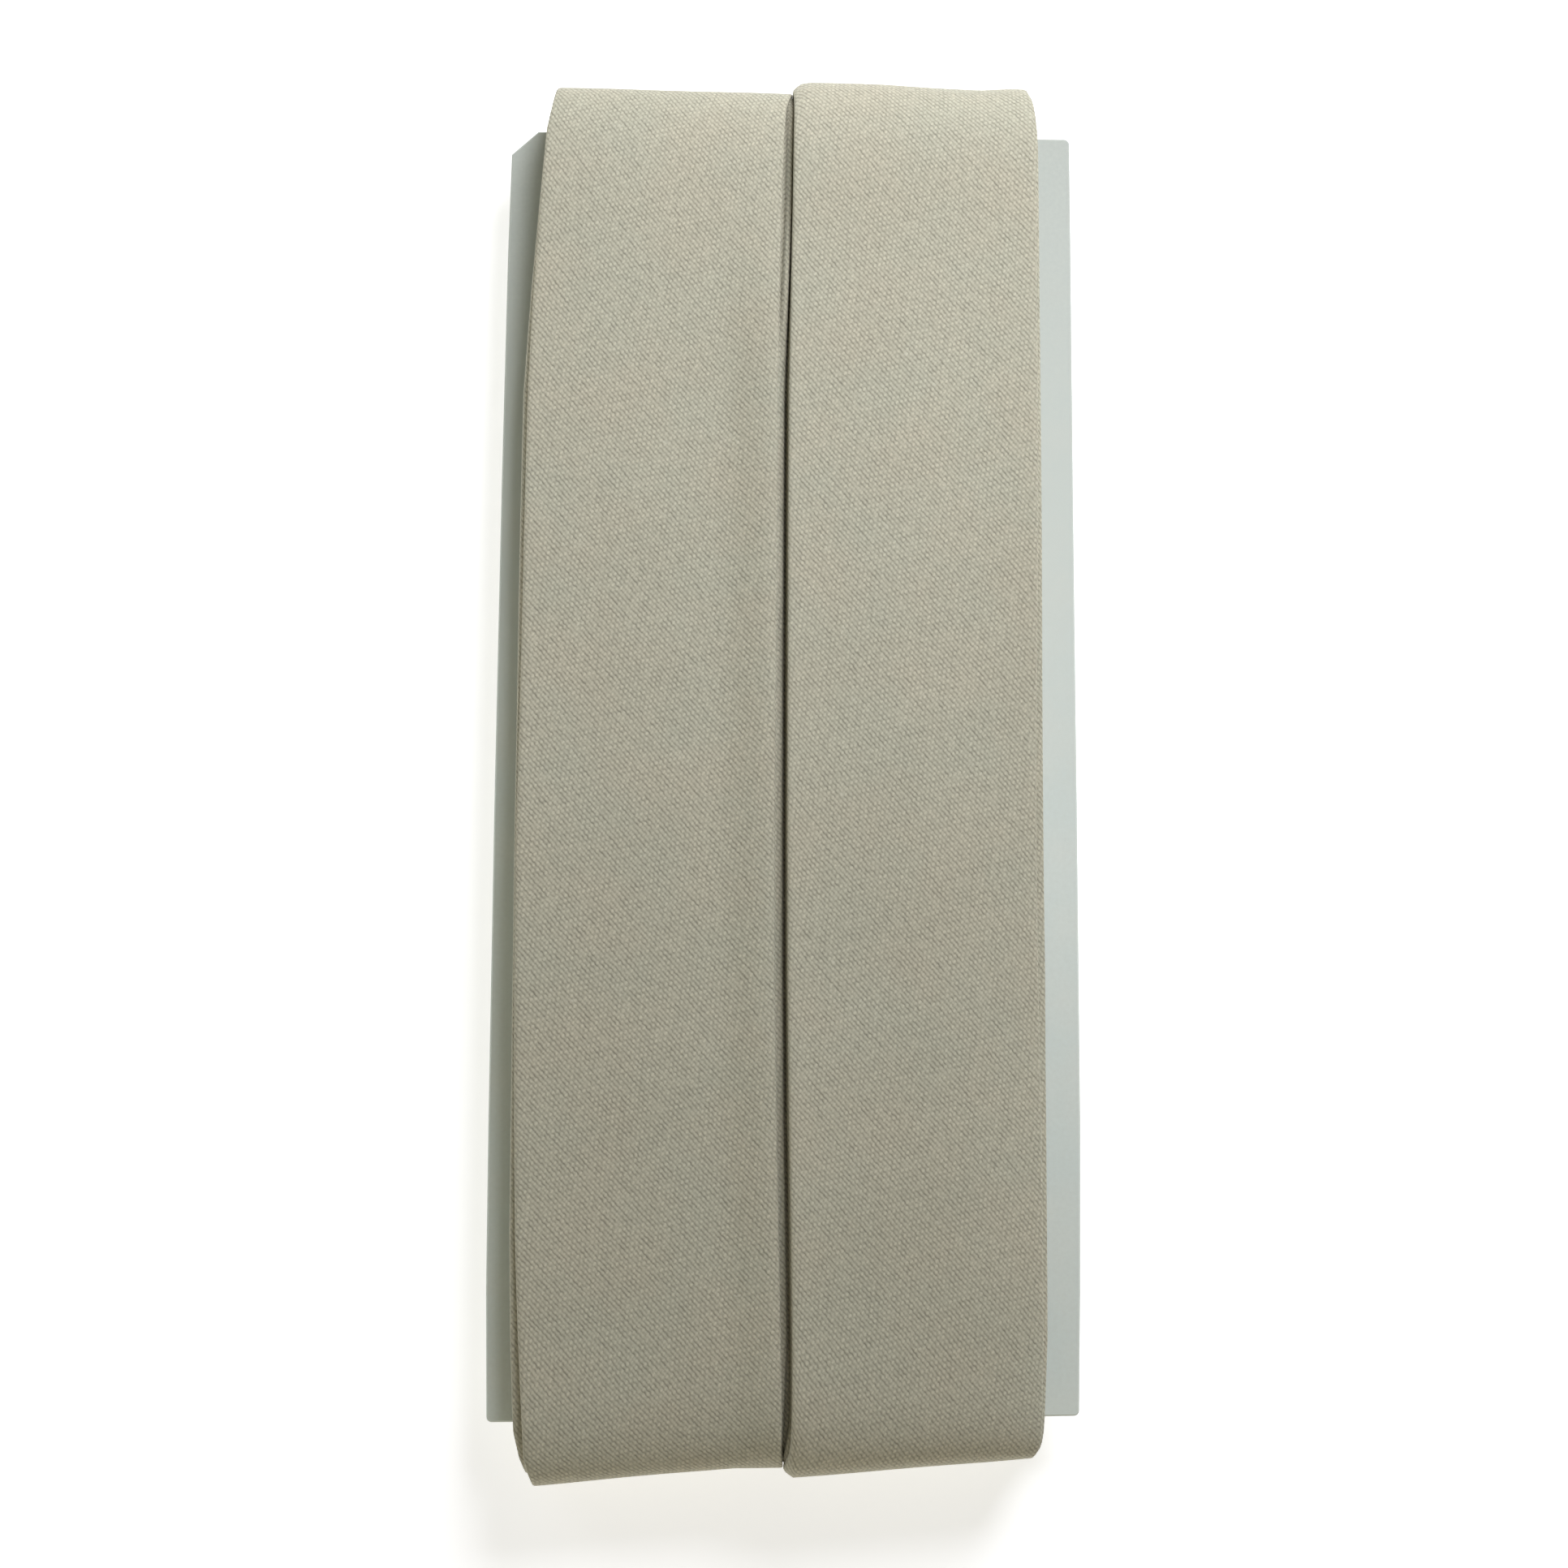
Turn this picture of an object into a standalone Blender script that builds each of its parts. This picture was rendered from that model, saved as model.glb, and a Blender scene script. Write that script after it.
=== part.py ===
# Quilt binding: folded bias tape wound in two lanes, side by side, lengthwise round a thin card.
# Metres, +Z up. The winding lies on its back with its length along Y and its best side up.
import math
import bmesh
import bpy

MM = 0.001

# The card, 2 by 4 1/2 inches
CARD_LENGTH = 114.3 * MM
CARD_THICKNESS = 0.8 * MM
CARD_CORNER_RADIUS = 0.45 * MM
CARD_EDGE_SOFTENING = 0.12 * MM
# It is cut by hand: its bottom edge slants, and its long sides bow out, in mm from its middle
CARD_BOTTOM_LEFT_Y = -57.35
CARD_BOTTOM_RIGHT_Y = -56.65
CARD_CLIPPED_CORNER = ((-22.70, 57.15), (-25.05, 55.00))
CARD_SIDE_COLUMNS = ("y", "left", "right")
CARD_SIDES = (
    (-57.15, -25.45, 25.35),
    (-46.0, -25.66, 25.52),
    (-32.0, -25.70, 25.64),
    (-5.0, -25.65, 25.56),
    (24.0, -25.48, 25.42),
    (46.0, -25.25, 25.36),
    (57.15, -24.95, 25.30),
)

# The folded tape, four layers of cotton
TURN_THICKNESS = 0.85 * MM
LEFT_LANE_TURNS = 5
RIGHT_LANE_TURNS = 6
SLOT_CLEARANCE = 0.3 * MM

# The slack of the winding: its front crowns a little at mid-length, and its ends are rounded
FRONT_CROWN = 0.5 * MM
END_SETBACK = 7.0 * MM
END_SQUARENESS = 0.86

# What shows on the back: the strip that crosses from the left lane to the right, and the cut end
STRIP_START_Y = -50.0 * MM
STRIP_END_Y = 50.0 * MM
STRIP_FIRST_SHARE = 0.05
STRIP_LAST_SHARE = 0.95
STRIP_RISE_LENGTH = 8.0 * MM
FRONT_STEP_SHARE = 0.5
TAIL_CUT_Y = 12.0 * MM
STEP_WIDTH = 0.4 * MM

# Worked out from the sizes above
SLOT_HALF_HEIGHT = CARD_THICKNESS / 2 + SLOT_CLEARANCE
SLOT_HALF_LENGTH = max(CARD_LENGTH / 2, -CARD_BOTTOM_LEFT_Y * MM) + SLOT_CLEARANCE
BACK_THICKNESS = RIGHT_LANE_TURNS * TURN_THICKNESS
CARD_LEVEL = BACK_THICKNESS + SLOT_HALF_HEIGHT
FACE_HALF_LENGTH = CARD_LENGTH / 2 - END_SETBACK

# Outline of the front, seen from above, in mm from the card's middle.
# peek is how far the turns beneath stick out past the outer turn's left edge.
OUTLINE_COLUMNS = ("y", "left", "peek", "seam", "right")
OUTLINE = (
    (-62.7, -21.3, 0.00, 0.15, 20.8),
    (-60.2, -22.1, 0.55, 0.15, 21.3),
    (-57.0, -22.3, 0.80, 0.15, 22.0),
    (-50.0, -22.7, 0.70, 0.15, 22.3),
    (-32.0, -23.2, 0.35, -0.05, 22.3),
    (-5.0, -23.4, 0.20, -0.25, 22.1),
    (30.0, -23.1, 0.40, -0.28, 22.0),
    (48.0, -22.3, 0.20, 0.05, 21.9),
    (56.0, -21.8, 0.00, 0.15, 21.9),
    (62.0, -21.0, 0.00, 0.20, 21.5),
)

# How far each lane reaches past the card's ends, in mm, at its left and right edges
REACH = {
    "left": {"top": (4.05, 3.85), "bottom": (5.60, 3.90)},
    "right": {"top": (4.80, 4.40), "bottom": (4.80, 3.05)},
}

# Rims of a lane: mm in from its edge, and the share of the stack's thickness.
# The turns lie a little unevenly. On the left the third value is the share of the peek.
LEFT_RIM = (
    (0.10, 0.00, 0.5),
    (-0.10, 0.20, 0.7),
    (0.08, 0.38, 0.8),
    (-0.08, 0.58, 1.0),
    (0.00, 0.70, 1.0),
    (0.05, 0.79, 1.0),
    (0.12, 0.81, 0.0),
    (0.00, 0.91, 0.0),
    (0.35, 0.99, 0.0),
    (1.30, 1.03, 0.0),
)
# Toward the seam the upper leaf of the tape ends first and the wider lower leaf goes on
LEFT_LANE_SEAM_SIDE = (
    (2.20, 0.99),
    (0.95, 0.985),
    (0.75, 0.93),
    (0.25, 0.90),
)
SEAM_DEPTH_SHARE = 0.30
RIGHT_LANE_SEAM_SIDE = (
    (0.22, 0.86),
    (0.26, 0.96),
    (0.80, 1.02),
    (2.60, 1.00),
)
RIGHT_RIM = (
    (1.60, 0.99),
    (0.60, 0.97),
    (0.42, 0.92),
    (0.00, 0.88),
    (0.14, 0.74),
    (-0.10, 0.56),
    (0.12, 0.38),
    (-0.08, 0.18),
    (0.10, 0.00),
)

# Stations round the loop
FACE_STATIONS = 14
END_STATIONS = 12
LEFT_INNER_SHARES = (1 / 3, 2 / 3)
RIGHT_INNER_SHARES = (0.25, 0.5, 0.75)


def clear_scene():
    for item in list(bpy.data.objects):
        bpy.data.objects.remove(item, do_unlink=True)


def make_material(name, colour, roughness):
    material = bpy.data.materials.new(name)
    material.use_nodes = True
    shader = material.node_tree.nodes["Principled BSDF"]
    shader.inputs["Base Color"].default_value = (*colour, 1.0)
    shader.inputs["Roughness"].default_value = roughness
    shader.inputs["Metallic"].default_value = 0.0
    return material


def add_object(name, mesh_maker, material):
    mesh_maker.normal_update()
    bmesh.ops.recalc_face_normals(mesh_maker, faces=mesh_maker.faces)
    mesh = bpy.data.meshes.new(name)
    mesh_maker.to_mesh(mesh)
    mesh_maker.free()
    mesh.materials.append(material)
    mesh.shade_smooth()
    mesh.set_sharp_from_angle(angle=math.radians(35))
    item = bpy.data.objects.new(name, mesh)
    bpy.context.scene.collection.objects.link(item)
    return item


def blend(start, end, share):
    return start + (end - start) * share


def outline_at(y, column):
    """The front outline at a distance y from the card's middle, in metres."""
    index = OUTLINE_COLUMNS.index(column)
    y_mm = min(max(y / MM, OUTLINE[0][0]), OUTLINE[-1][0])
    for low, high in zip(OUTLINE, OUTLINE[1:]):
        if y_mm <= high[0]:
            share = (y_mm - low[0]) / (high[0] - low[0])
            return blend(low[index], high[index], share) * MM
    return OUTLINE[-1][index] * MM


def frame_middle_y():
    """Moves the card so that the whole part is centred on the origin."""
    top = max(max(REACH[lane]["top"]) for lane in REACH)
    bottom = max(max(REACH[lane]["bottom"]) for lane in REACH)
    return (bottom - top) / 2 * MM


def loop_stations():
    """Places round the loop: front towards -Y, round the bottom, back towards +Y, round the top."""
    stations = []
    for index in range(FACE_STATIONS + 1):
        y = blend(FACE_HALF_LENGTH, -FACE_HALF_LENGTH, index / FACE_STATIONS)
        stations.append({"side": "front", "y": y})
    for index in range(1, END_STATIONS):
        stations.append({"side": "bottom", "angle": math.pi * (0.5 - index / END_STATIONS)})
    back = [blend(-FACE_HALF_LENGTH, FACE_HALF_LENGTH, index / FACE_STATIONS)
            for index in range(FACE_STATIONS + 1)]
    back += [TAIL_CUT_Y, TAIL_CUT_Y + STEP_WIDTH]
    for y in sorted(back):
        stations.append({"side": "back", "y": y})
    for index in range(1, END_STATIONS):
        stations.append({"side": "top", "angle": math.pi * (index / END_STATIONS - 0.5)})
    return stations


def strip_share(station):
    """How far across the left lane the crossing strip's edge lies."""
    if station["side"] == "front":
        return FRONT_STEP_SHARE
    if station["side"] == "back":
        along = (station["y"] - STRIP_START_Y) / (STRIP_END_Y - STRIP_START_Y)
        return blend(STRIP_FIRST_SHARE, STRIP_LAST_SHARE, min(max(along, 0.0), 1.0))
    behind = STRIP_FIRST_SHARE if station["side"] == "bottom" else STRIP_LAST_SHARE
    return blend(behind, FRONT_STEP_SHARE, 0.5 + 0.5 * math.sin(station["angle"]))


def station_y(station, lane="left", edge=1):
    """Where a station lies along the part, at the left (0) or right (1) edge of a lane."""
    if "y" in station:
        return station["y"]
    side = 1 if station["side"] == "top" else -1
    reach = END_SETBACK + REACH[lane][station["side"]][edge] * MM
    return side * (FACE_HALF_LENGTH + reach * math.cos(station["angle"]))


def missing_turns(station, y):
    """Turns missing beside the crossing strip, and above the cut end of the tape."""
    if station["side"] in ("front", "bottom"):
        return 0.0, 0.0
    if station["side"] == "top":
        behind = max(0.0, -math.sin(station["angle"]))
        return behind, behind
    beside_strip = min(1.0, max(0.0, (y - STRIP_START_Y) / STRIP_RISE_LENGTH))
    return beside_strip, 1.0 if y > TAIL_CUT_Y else 0.0


def columns_at(station):
    """Points across both lanes: x, share of the thickness, lane, and turns missing there."""
    left_y = station_y(station, "left", 0)
    left = outline_at(left_y, "left")
    peek = outline_at(left_y, "peek")
    seam = outline_at(station_y(station), "seam")
    right = outline_at(station_y(station, "right"), "right")
    missing_strip, missing_tail = missing_turns(station, station_y(station))

    points = []
    for inset, share, peek_share in LEFT_RIM:
        points.append((left + inset * MM - peek * peek_share, share, "left", missing_strip))
    inner_start = left + LEFT_RIM[-1][0] * MM
    inner_end = seam - LEFT_LANE_SEAM_SIDE[0][0] * MM
    step = blend(inner_start, inner_end, strip_share(station))
    for share in LEFT_INNER_SHARES + (1.0,):
        points.append((blend(inner_start, step, share), 1.0, "left", missing_strip))
    for share in (0.0,) + LEFT_INNER_SHARES:
        points.append((blend(step + STEP_WIDTH, inner_end, share), 1.0, "left", 0.0))
    for inset, share in LEFT_LANE_SEAM_SIDE:
        points.append((seam - inset * MM, share, "left", 0.0))
    points.append((seam, SEAM_DEPTH_SHARE, "left", 0.0))
    for inset, share in RIGHT_LANE_SEAM_SIDE:
        points.append((seam + inset * MM, share, "right", missing_tail))
    inner_start = seam + RIGHT_LANE_SEAM_SIDE[-1][0] * MM
    inner_end = right - RIGHT_RIM[0][0] * MM
    for share in RIGHT_INNER_SHARES:
        points.append((blend(inner_start, inner_end, share), 1.0, "right", missing_tail))
    for inset, share in RIGHT_RIM:
        points.append((right - inset * MM, share, "right", missing_tail))
    return points, left, seam, right


def lane_reach(lane, end, x, left, seam, right):
    """How far the lane reaches past the card's end at x."""
    at_left, at_right = REACH[lane][end]
    low, high = (left, seam) if lane == "left" else (seam, right)
    return blend(at_left, at_right, min(max((x - low) / (high - low), 0.0), 1.0)) * MM


def skin_share(share, up):
    """The bulky rims stand proud of the front and sink to the common level round the ends."""
    return share if share <= 1.0 else blend(1.0, share, max(0.0, up))


def front_thickness(lane, y):
    turns = LEFT_LANE_TURNS if lane == "left" else RIGHT_LANE_TURNS
    crown = FRONT_CROWN * max(0.0, 1.0 - (y / (CARD_LENGTH / 2)) ** 2)
    return turns * TURN_THICKNESS + crown


def loop_point(station, x, share, lane, missing, edges):
    """One point of the winding's skin, between the slot's wall and the outer turn."""
    if station["side"] == "front":
        y = station["y"]
        rise = SLOT_HALF_HEIGHT + share * front_thickness(lane, y)
        return (x, y, CARD_LEVEL + rise)
    if station["side"] == "back":
        y = station["y"]
        thickness = BACK_THICKNESS - missing * TURN_THICKNESS
        drop = SLOT_HALF_HEIGHT + skin_share(share, 0.0) * thickness
        return (x, y, CARD_LEVEL - drop)
    side = 1 if station["side"] == "top" else -1
    along, up = math.cos(station["angle"]), math.sin(station["angle"])
    if up > 0:
        thickness = front_thickness(lane, FACE_HALF_LENGTH)
    else:
        thickness = BACK_THICKNESS - missing * TURN_THICKNESS
    reach = END_SETBACK + lane_reach(lane, station["side"], x, *edges)
    outer_y = FACE_HALF_LENGTH + reach * along ** END_SQUARENESS
    outer_z = math.copysign(abs(up) ** END_SQUARENESS, up) * (SLOT_HALF_HEIGHT + thickness)
    corner = max(abs(along), abs(up))
    inner_y = FACE_HALF_LENGTH + (SLOT_HALF_LENGTH - FACE_HALF_LENGTH) * along / corner
    inner_z = SLOT_HALF_HEIGHT * up / corner
    height = skin_share(share, up)
    y = side * blend(inner_y, outer_y, height)
    return (x, y, CARD_LEVEL + blend(inner_z, outer_z, height))


def build_binding():
    """The wound tape as one body, a flat ring round the card."""
    maker = bmesh.new()
    middle_y = frame_middle_y()
    rings = []
    for station in loop_stations():
        points, *edges = columns_at(station)
        ring = []
        for x, share, lane, missing in points:
            px, py, pz = loop_point(station, x, share, lane, missing, edges)
            ring.append(maker.verts.new((px, py + middle_y, pz)))
        rings.append(ring)
    for ring, following in zip(rings, rings[1:] + rings[:1]):
        count = len(ring)
        for index in range(count):
            after = (index + 1) % count
            maker.faces.new((ring[index], ring[after], following[after], following[index]))
    bmesh.ops.triangulate(maker, faces=maker.faces)
    colour = (0.42, 0.40, 0.31)
    return add_object("binding", maker, make_material("taupe cotton", colour, 0.85))


def corner_arc(centre_x, centre_y, start_degrees, steps=4):
    points = []
    for index in range(steps + 1):
        angle = math.radians(start_degrees + 90 * index / steps)
        points.append((centre_x + CARD_CORNER_RADIUS * math.cos(angle),
                       centre_y + CARD_CORNER_RADIUS * math.sin(angle)))
    return points


def card_side(column):
    """Points down one long side of the card, from its top end to its bottom end."""
    index = CARD_SIDE_COLUMNS.index(column)
    return [(row[index] * MM, row[0] * MM) for row in reversed(CARD_SIDES)]


def card_outline():
    """The card's outline, anticlockwise from its bottom right corner."""
    right = card_side("right")
    left = card_side("left")
    radius = CARD_CORNER_RADIUS
    outline = corner_arc(right[-1][0] - radius, CARD_BOTTOM_RIGHT_Y * MM + radius, -90)
    outline += right[-2:0:-1]
    outline += corner_arc(right[0][0] - radius, right[0][1] - radius, 0)
    outline += [(x * MM, y * MM) for x, y in CARD_CLIPPED_CORNER]
    outline += left[1:-1]
    outline += corner_arc(left[-1][0] + radius, CARD_BOTTOM_LEFT_Y * MM + radius, 180)
    return outline


def build_card():
    maker = bmesh.new()
    middle_y = frame_middle_y()
    low = CARD_LEVEL - CARD_THICKNESS / 2
    bottom = maker.faces.new([maker.verts.new((x, y + middle_y, low)) for x, y in card_outline()])
    extruded = bmesh.ops.extrude_face_region(maker, geom=[bottom])
    raised = [item for item in extruded["geom"] if isinstance(item, bmesh.types.BMVert)]
    bmesh.ops.translate(maker, verts=raised, vec=(0.0, 0.0, CARD_THICKNESS))
    colour = (0.62, 0.65, 0.58)
    card = add_object("card", maker, make_material("white card", colour, 0.7))
    soften = card.modifiers.new("soft edge", "BEVEL")
    soften.width = CARD_EDGE_SOFTENING
    soften.segments = 1
    soften.limit_method = "ANGLE"
    soften.angle_limit = math.radians(60)
    return card


clear_scene()
build_card()
build_binding()
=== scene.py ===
# Looks of the quilt binding: the folded bias tape, turn by turn, on its white card.
# Shapes are worked out in millimetres and written to the meshes in metres.
import math

import bpy
import numpy as np
from mathutils import Matrix, Vector


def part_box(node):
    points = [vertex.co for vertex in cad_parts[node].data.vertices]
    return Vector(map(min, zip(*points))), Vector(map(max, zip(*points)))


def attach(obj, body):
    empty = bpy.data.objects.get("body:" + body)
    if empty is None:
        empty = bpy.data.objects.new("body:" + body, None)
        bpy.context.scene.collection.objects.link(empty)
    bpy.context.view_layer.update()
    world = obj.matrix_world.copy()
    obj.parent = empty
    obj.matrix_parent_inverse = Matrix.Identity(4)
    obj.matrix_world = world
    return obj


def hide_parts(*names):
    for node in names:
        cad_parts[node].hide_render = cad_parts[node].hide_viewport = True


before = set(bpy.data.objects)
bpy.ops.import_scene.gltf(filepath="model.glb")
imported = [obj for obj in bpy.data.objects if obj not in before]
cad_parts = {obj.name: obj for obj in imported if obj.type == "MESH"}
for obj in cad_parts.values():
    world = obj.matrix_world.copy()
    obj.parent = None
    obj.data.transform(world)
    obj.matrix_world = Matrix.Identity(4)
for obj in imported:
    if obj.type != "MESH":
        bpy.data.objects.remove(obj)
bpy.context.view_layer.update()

MM = 0.001
INCH = 25.4

# The tape: a bias strip folded to the middle and in half again, so it lies four layers thick
CUT_WIDTH = 3.5 * INCH
TURN_THICKNESS = 0.85
LEFT_TURNS = 5
RIGHT_TURNS = 6
LANE_TURNS = {"left": LEFT_TURNS, "right": RIGHT_TURNS}

# Half the card's nominal length, and how far the winding reaches past that at each end, as (share
# of the way across the lane from left to right, reach)
CARD_HALF_LENGTH = 4.5 * INCH / 2
REACH = {
    ("left", "top"): ((0.0, 4.05), (0.5, 4.0), (1.0, 3.85)),
    ("left", "bottom"): ((0.0, 5.6), (0.45, 4.7), (0.8, 3.95), (1.0, 3.9)),
    ("right", "top"): ((0.0, 4.1), (0.045, 4.8), (0.4, 4.7), (0.8, 4.3), (0.93, 4.45), (1.0, 4.4)),
    ("right", "bottom"): ((0.0, 4.25), (0.035, 4.8), (0.5, 4.0), (1.0, 3.05)),
}

# The card, read from the frame. Heights and lengths below are measured from its middle.
card_low, card_high = (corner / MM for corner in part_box("card"))
CARD_LEVEL = (card_low.z + card_high.z) / 2
CARD_HALF_THICKNESS = (card_high.z - card_low.z) / 2
LONGEST_REACH = {
    side: max(reach for (_, end), row in REACH.items() if end == side for _, reach in row)
    for side in ("top", "bottom")
}
CARD_MIDDLE_Y = (LONGEST_REACH["bottom"] - LONGEST_REACH["top"]) / 2
CARD_END = {"top": card_high.y - CARD_MIDDLE_Y, "bottom": CARD_MIDDLE_Y - card_low.y}

# The skin of the winding, measured from the card's middle plane
WOUND_TIGHT = 0.05
INNER_RISE = CARD_HALF_THICKNESS + WOUND_TIGHT
FRONT_SLACK = 0.3
FRONT_BASE = CARD_HALF_THICKNESS + FRONT_SLACK
FRONT_CROWN = 0.5
BACK_SKIN = CARD_LEVEL
END_SETBACK = 7.0
END_SQUARENESS = 0.86
BOTTOM_FRONT_SQUARENESS = 0.52
FACE_HALF = CARD_HALF_LENGTH - END_SETBACK

# The front's relief: the ridge beside each main fold and the right lane's sag toward its open edge,
# both as (at the top, in the lower part), and the left lane's edge curled up at the seam
FOLD_RIDGE = {"left": (0.12, 0.38), "right": (0.14, 1.00)}
FOLD_RIDGE_WIDTH = 3.6
FOLD_RIDGE_FLAT = 0.4
OPEN_SAG = (-0.30, 1.50)
SAG_WIDTH = 11.0
SAG_POWER = 2.5
SAG_LIMIT = 1.05
LOWER_PART_FROM_Y = 28.0
LOWER_PART_FADE = 56.0
CURL_HEIGHT = 1.25
CURL_WIDTH = 5.1
CURL_FLAT = 0.2
CURL_TOP_Y = 56.0
CURL_FADE = 24.0

# Soft unevenness of the wound cloth, as waves: height, length along x, length along y, start, and
# how much of the right lane's shift each one takes
RIPPLES = (
    (0.060, 70.0, 34.0, 0.0, 1.0),
    (0.040, 15.0, 140.0, 0.0, 1.3),
    (0.025, -31.0, 13.0, 0.7, 1.0),
)
RIGHT_LANE_SHIFT = 2.1

# Where the tape starts, crosses over and ends, all on the back
START_Y = -46.0
START_RAMP = 8.0
CROSSING_FROM_Y = -57.0
CROSSING_TO_Y = 50.0
CROSSING_INSET = 0.5
CROSSING_DIVE = 1.3
CROSSING_DIVE_LEAD = 0.35
TAIL_CUT_Y = 12.0
# On the back the right lane's folds stand off the strip that dives under them, as (the outermost
# turn, how much more for the innermost)
BACK_STAND_OFF = (0.15, 0.75)

# Edges of the two lanes seen from the front, in mm from the card's middle.
# fold is the tape's main fold and open its open side, where the leaf on top is the narrower one.
# left_under is the fold side of the left lane's hidden turns and right_under that of the turn
# just below the right lane's outer one. seam is where both lanes' other hidden turns meet: under
# the left lane's curled edge, so that the right lane's hidden turns close the gap from below.
EDGE_COLUMNS = (
    "y", "left_fold", "left_under", "left_leaf", "left_open",
    "seam", "right_under", "right_fold", "right_leaf", "right_open",
)
EDGES = (
    (-62.8, -21.20, -21.4, -0.10, -0.03, -0.25, -0.20, -0.06, 20.5, 20.7),
    (-60.5, -22.02, -22.3, -0.10, -0.03, -0.22, -0.20, -0.06, 20.7, 20.9),
    (-60.0, -22.09, -22.5, -0.32, -0.22, -0.19, -0.17, 0.24, 21.1, 21.3),
    (-59.4, -22.12, -22.8, -0.35, -0.25, -0.10, -0.08, 0.36, 21.5, 21.7),
    (-58.0, -22.18, -23.0, -0.34, -0.20, 0.05, 0.24, 0.43, 21.75, 21.95),
    (-56.0, -22.30, -23.1, -0.34, -0.10, 0.15, 0.34, 0.46, 21.8, 22.05),
    (-50.0, -22.65, -23.35, -0.48, 0.10, 0.10, 0.31, 0.43, 21.9, 22.30),
    (-42.0, -23.02, -23.55, -0.68, -0.05, -0.15, 0.17, 0.29, 21.9, 22.30),
    (-32.0, -23.25, -23.58, -0.92, -0.29, -0.45, -0.04, 0.08, 21.85, 22.28),
    (-20.0, -23.42, -23.62, -1.13, -0.45, -0.70, -0.22, -0.10, 21.6, 22.25),
    (-8.0, -23.47, -23.65, -1.19, -0.52, -0.80, -0.30, -0.18, 21.45, 22.12),
    (5.0, -23.30, -23.62, -1.17, -0.55, -0.82, -0.34, -0.22, 21.5, 22.05),
    (19.0, -23.20, -23.60, -1.13, -0.54, -0.82, -0.36, -0.24, 21.65, 22.02),
    (32.0, -23.08, -23.50, -1.12, -0.50, -0.76, -0.34, -0.22, 21.7, 22.00),
    (40.0, -22.78, -23.05, -1.04, -0.23, -0.60, -0.17, -0.07, 21.7, 21.98),
    (48.0, -22.30, -22.45, -0.84, 0.04, -0.35, 0.08, 0.09, 21.65, 21.95),
    (56.0, -21.80, -21.85, -0.60, 0.18, -0.05, 0.21, 0.20, 21.65, 21.95),
    (58.6, -21.35, -21.40, -0.42, 0.24, 0.07, 0.27, 0.26, 21.54, 21.80),
    (60.0, -21.13, -21.18, 0.02, 0.25, 0.11, 0.27, 0.24, 21.41, 21.66),
    (60.5, -21.06, -21.11, 0.24, 0.27, 0.13, 0.24, 0.20, 21.32, 21.57),
    (61.8, -20.90, -20.95, 0.24, 0.27, 0.15, 0.24, 0.20, 21.10, 21.35),
)
EDGE_SMOOTHING = 0.5
EDGE_SAMPLES = 7

# The folded section: each fold's half width in mm, and levels as shares of a turn's thickness
SKIN_LEVEL = 0.47
INNER_LEVEL = 0.05
LEAF_FOLD_RADIUS = 0.19
MAIN_FOLD_RADIUS = 0.42
MAIN_FOLD_SQUARENESS = 0.7
RAW_EDGE_SHARE = 0.07
FLAP_END_SHARE = 0.97
# The wide leaf beside the narrow one at the seam sinks into the gap along most of it, and near the
# top its edge turns up past a groove: the levels of its edge, as (sunk, turned up), and of its
# face, as (share, sunk, turned up)
WIDE_LEAF_EDGE = (-1.0, 0.06)
WIDE_LEAF_FACE = (
    (0.978, -0.93, 0.03),
    (0.973, -0.85, -0.48),
    (0.957, -0.60, -0.48),
    (0.940, -0.10, -0.05),
    (0.67, 0.0, 0.0),
    (0.37, 0.0, 0.0),
    (RAW_EDGE_SHARE, 0.0, 0.0),
)
# How much of that sinking there is along the seam, as (y, share)
WIDE_LEAF_SINK = (
    (-60.0, 0.60), (-48.0, 0.40), (-28.0, 0.22), (-4.0, 0.22), (10.0, 0.60), (60.0, 0.60),
)
TURNED_UP_FROM_Y = 33.0
TURNED_UP_LENGTH = 12.0
HIDDEN_LEAF_STEP = 0.45
SEAM_CLEARANCE = 0.03
# Where each layer's turns meet, from the seam: staggered, so that the seam isn't open to the floor
SEAM_STAGGER = {
    "front": (-0.30, 0.35, -0.25, -0.38, 0.0),
    "back": (-0.30, 0.35, -0.25, 0.14, 0.0),
}
# How the hidden turns wander sideways: a step for each turn and a slow wave along it
WANDER_STEP = 0.16
WANDER_WAVE = 0.12
WANDER_LENGTH = 71.0
# The right lane's hidden turns end a little inside its outer one and wander less
RIGHT_HIDDEN_INSET = 0.12
RIGHT_WANDER_SHARE = 0.6


def smooth(share):
    share = np.clip(share, 0.0, 1.0)
    return share * share * (3.0 - 2.0 * share)


def blend(start, end, share):
    return start + (end - start) * share


def edge_at(y, column):
    """An edge of a lane at a distance y from the card's middle, rounded over its table rows."""
    rows = np.array(EDGES)
    index = EDGE_COLUMNS.index(column)
    spread = np.linspace(-EDGE_SMOOTHING, EDGE_SMOOTHING, EDGE_SAMPLES)
    return float(np.mean(np.interp(y + spread, rows[:, 0], rows[:, index])))


def ripple(x, y, lane):
    shift = 0.0 if lane == "left" else RIGHT_LANE_SHIFT
    total = 0.0
    for height, x_length, y_length, start, taken in RIPPLES:
        waves = y / y_length + x / x_length
        total += height * np.sin(2 * math.pi * waves + start + taken * shift)
    return total


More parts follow.
